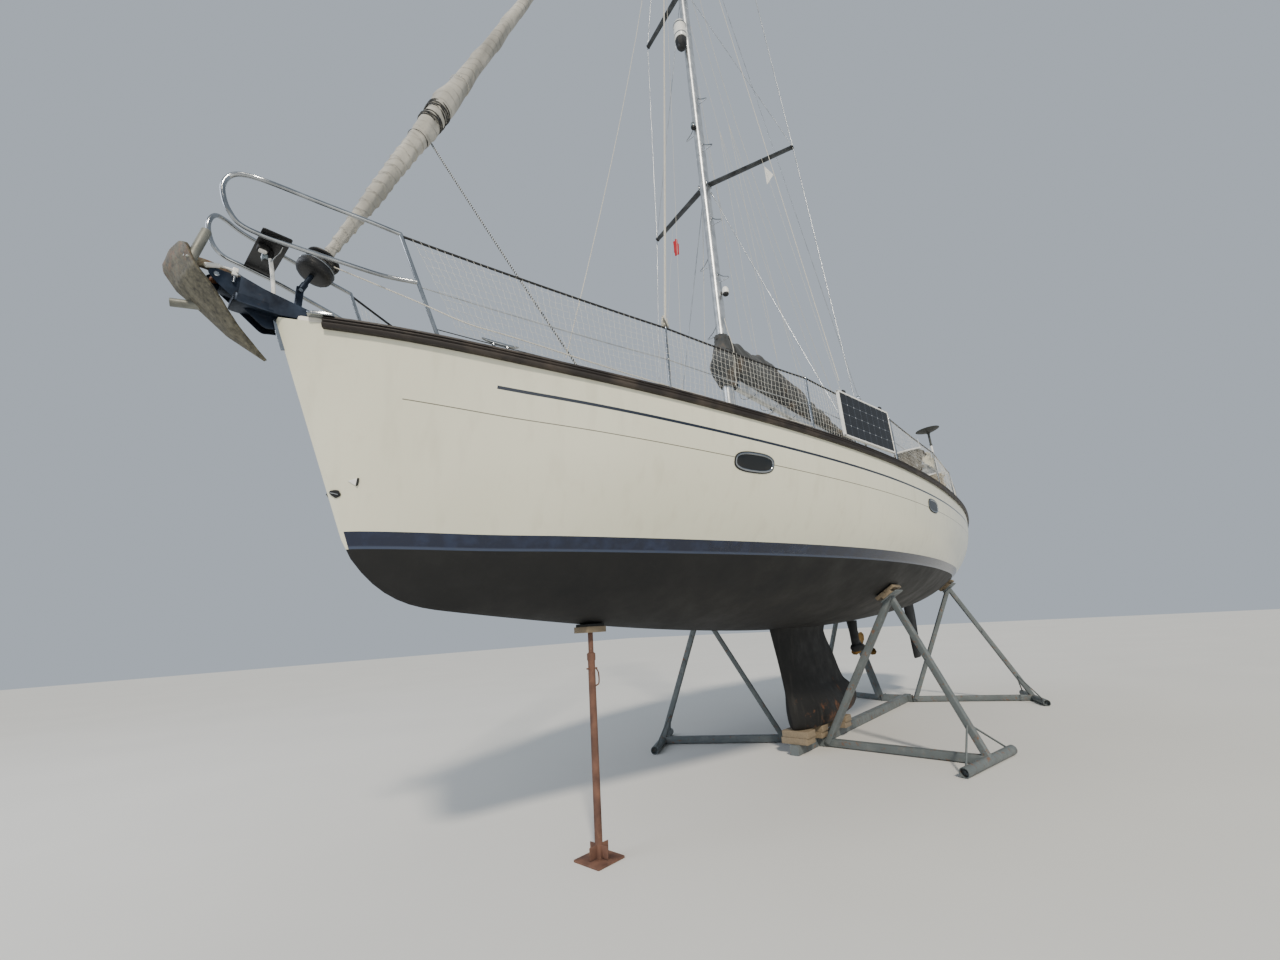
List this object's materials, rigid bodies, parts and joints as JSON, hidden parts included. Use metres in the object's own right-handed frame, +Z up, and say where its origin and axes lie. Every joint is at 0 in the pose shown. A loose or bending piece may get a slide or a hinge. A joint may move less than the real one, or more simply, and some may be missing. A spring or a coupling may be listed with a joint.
{
  "type": "sailing yacht",
  "caption": "Masthead sloop-rigged cruising sailing yacht with fin keel, stowed sails and guard rails, standing ashore on a steel cradle with a prop under its bow.",
  "frame": {"origin": "on the ground under the cradle's keel beam, below the middle of the hull's length", "axes": "+X to the bow, +Y to port, +Z up"},
  "size_m": [13.455, 4.5771, 17.912],
  "materials": {
    "topsides": "cream-white gelcoat, navy boot stripe and cove stripe, black antifouling below",
    "deck_gelcoat": "off-white gelcoat with fine non-slip panels",
    "strake": "dark brown grooved rubbing strake, weathered",
    "antifouling_iron": "matt black antifouling on cast iron",
    "antifouling_grp": "matt black antifouling on glass fibre",
    "antifouling_alloy": "matt black antifouling on alloy",
    "bronze": "dulled bronze",
    "stainless": "polished stainless steel tube and wire",
    "spar_alloy": "anodised, satin",
    "galvanised": "dull galvanised, stained brown",
    "cover_canvas": "dark grey acrylic canvas, faded on top",
    "sailcloth": "cream-grey sun strip over rolled sailcloth, dark ties",
    "black_plastic": "black moulded plastic",
    "smoked_acrylic": "dark smoked acrylic",
    "solar_cell": "dark blue cells under glass in a pale frame",
    "teak": "oiled teak, greyed",
    "cradle_steel": "dark grey paint with rust runs",
    "rusty_steel": "rust brown steel"
  },
  "bodies": {
    "yacht": {"hull": "topsides", "deck": "deck_gelcoat", "washboard": "teak", "keel": "antifouling_iron", "saildrive": "antifouling_alloy", "stem_fitting": "stainless", "anchor": "galvanised", "bow_light_plate": "black_plastic", "solar_panel": "solar_cell", "antenna_dome": "black_plastic", "mast": "spar_alloy", "backstay": "stainless", "steering_pedestal": "deck_gelcoat", "windlass": "stainless", "cradle_base": "cradle_steel", "bow_prop": "rusty_steel", "toe_rail_port": "strake", "cabin_window_port": "smoked_acrylic", "pulpit_port": "stainless", "pushpit_port": "stainless", "cap_shroud_port": "stainless", "lower_shroud_port": "stainless", "winch_port": "stainless", "cradle_arm_fore_port": "cradle_steel", "cradle_arm_aft_port": "cradle_steel", "stanchion_port_1": "stainless", "stanchion_port_2": "stainless", "stanchion_port_3": "stainless", "stanchion_port_4": "stainless", "stanchion_port_5": "stainless", "toe_rail_starboard": "strake", "cabin_window_starboard": "smoked_acrylic", "pulpit_starboard": "stainless", "pushpit_starboard": "stainless", "cap_shroud_starboard": "stainless", "lower_shroud_starboard": "stainless", "winch_starboard": "stainless", "cradle_arm_fore_starboard": "cradle_steel", "cradle_arm_aft_starboard": "cradle_steel", "stanchion_starboard_1": "stainless", "stanchion_starboard_2": "stainless", "stanchion_starboard_3": "stainless", "stanchion_starboard_4": "stainless", "stanchion_starboard_5": "stainless"},
    "boom_rig": {"boom": "spar_alloy", "vang": "spar_alloy", "sail_cover": "cover_canvas"},
    "furled_headsail_and_drum": {"furled_headsail": "sailcloth", "furler_drum": "black_plastic"},
    "rudder": {"rudder": "antifouling_grp"},
    "steering_wheel": {"steering_wheel": "stainless"},
    "propeller": {"propeller": "bronze"},
    "companionway_hatch": {"companionway_hatch": "smoked_acrylic"},
    "fore_hatch": {"fore_hatch": "smoked_acrylic"},
    "mid_hatch": {"mid_hatch": "smoked_acrylic"},
    "anchor_locker_lid": {"anchor_locker_lid": "deck_gelcoat"},
    "cockpit_locker_port": {"cockpit_locker_port": "teak"},
    "cockpit_locker_starboard": {"cockpit_locker_starboard": "teak"},
    "boarding_ladder": {"boarding_ladder": "stainless"}
  },
  "joints": [
    {"name": "boom_swing", "type": "hinge", "parent": "yacht", "child": "boom_rig", "pos_m": [0.911, 0, 5.03], "axis": [0, 0, 1], "range_deg": [-60, 60]},
    {"name": "headsail_furler", "type": "hinge", "parent": "yacht", "child": "furled_headsail_and_drum", "pos_m": [6.33, 0, 3.9], "axis": [-0.346, 0, 0.9383], "continuous": true},
    {"name": "rudder_turn", "type": "hinge", "parent": "yacht", "child": "rudder", "pos_m": [-5.42, 0, 1.4], "axis": [0, 0, 1], "range_deg": [-35, 35]},
    {"name": "wheel_turn", "type": "hinge", "parent": "yacht", "child": "steering_wheel", "pos_m": [-5.01, 0, 3.68], "axis": [1, 0, 0], "range_deg": [-455, 455]},
    {"name": "propeller_spin", "type": "hinge", "parent": "yacht", "child": "propeller", "pos_m": [-2.475, 0, 1.13], "axis": [1, 0, 0], "continuous": true},
    {"name": "companionway_slide", "type": "slide", "parent": "yacht", "child": "companionway_hatch", "axis": [1, 0, 0], "range_m": [0, 0.82]},
    {"name": "fore_hatch_hinge", "type": "hinge", "parent": "yacht", "child": "fore_hatch", "pos_m": [4.551, 0, 3.6], "axis": [0, 1, 0], "range_deg": [0, 110]},
    {"name": "mid_hatch_hinge", "type": "hinge", "parent": "yacht", "child": "mid_hatch", "pos_m": [2.45, 0, 4.018], "axis": [0, 1, 0], "range_deg": [0, 110]},
    {"name": "anchor_locker_hinge", "type": "hinge", "parent": "yacht", "child": "anchor_locker_lid", "pos_m": [5.08, 0, 3.61], "axis": [0, -1, 0], "range_deg": [0, 80]},
    {"name": "cockpit_locker_port_hinge", "type": "hinge", "parent": "yacht", "child": "cockpit_locker_port", "pos_m": [-3.45, 0.932, 3.256], "axis": [-1, 0, 0], "range_deg": [0, 85]},
    {"name": "cockpit_locker_starboard_hinge", "type": "hinge", "parent": "yacht", "child": "cockpit_locker_starboard", "pos_m": [-3.45, -0.932, 3.256], "axis": [1, 0, 0], "range_deg": [0, 85]},
    {"name": "boarding_ladder_hinge", "type": "hinge", "parent": "yacht", "child": "boarding_ladder", "pos_m": [-6.49, 0, 2.95], "axis": [0, -1, 0], "range_deg": [0, 175]}
  ],
  "couplings": [
    {"joint": "wheel_turn", "follows": "rudder_turn", "ratio": 13}
  ]
}
